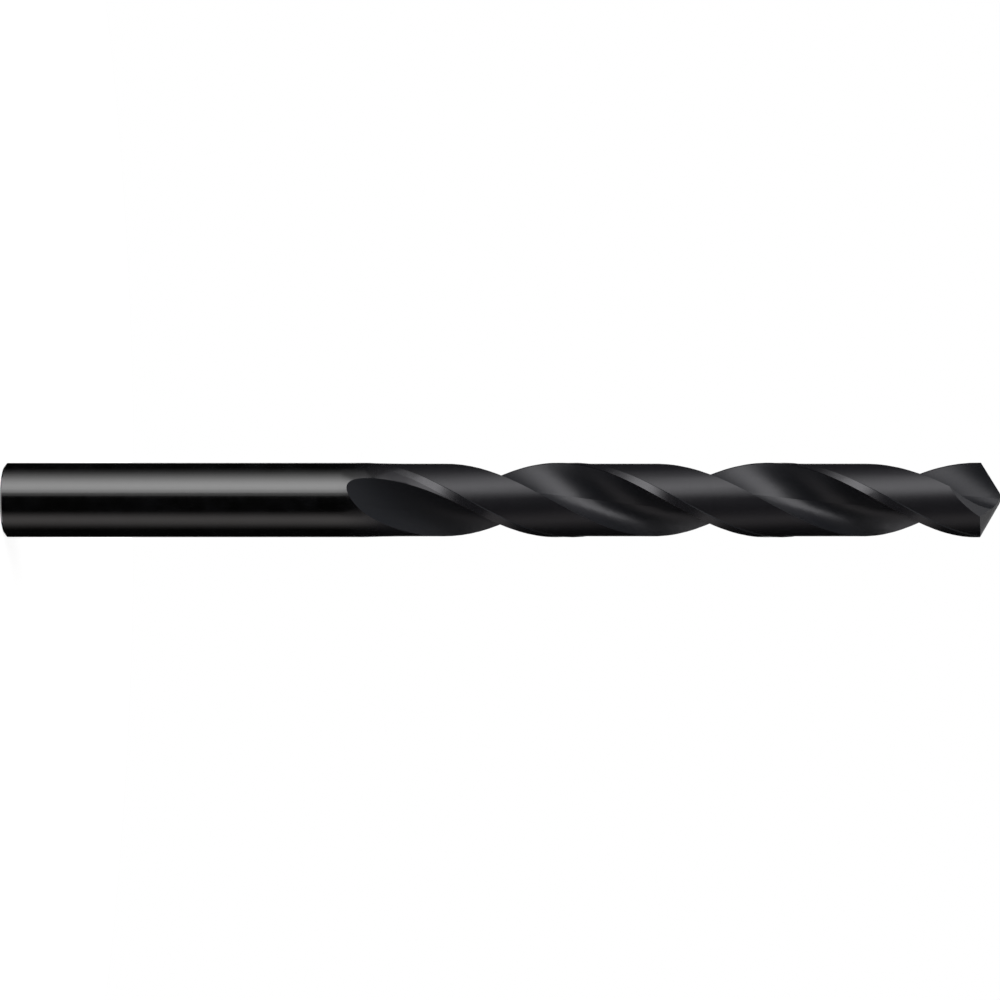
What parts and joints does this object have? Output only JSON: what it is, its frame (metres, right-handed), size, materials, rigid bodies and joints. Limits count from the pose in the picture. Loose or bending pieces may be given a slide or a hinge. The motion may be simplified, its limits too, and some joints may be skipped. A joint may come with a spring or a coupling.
{
  "type": "twist drill bit",
  "caption": "Twist drill bit, jobber length: parallel round shank, right-hand spiral flutes with raised margins, and a ground cutting point, in black-oxide high-speed steel.",
  "frame": {"origin": "centre of the flat shank end", "axes": "+Z along the drill's axis, from the shank to the point; +X along the cutting lips"},
  "size_m": [0.01, 0.01, 0.133],
  "materials": {
    "black_oxide_steel": "black oxide, semi-gloss"
  },
  "bodies": {
    "root": {"drill_bit": "black_oxide_steel"}
  },
  "joints": []
}
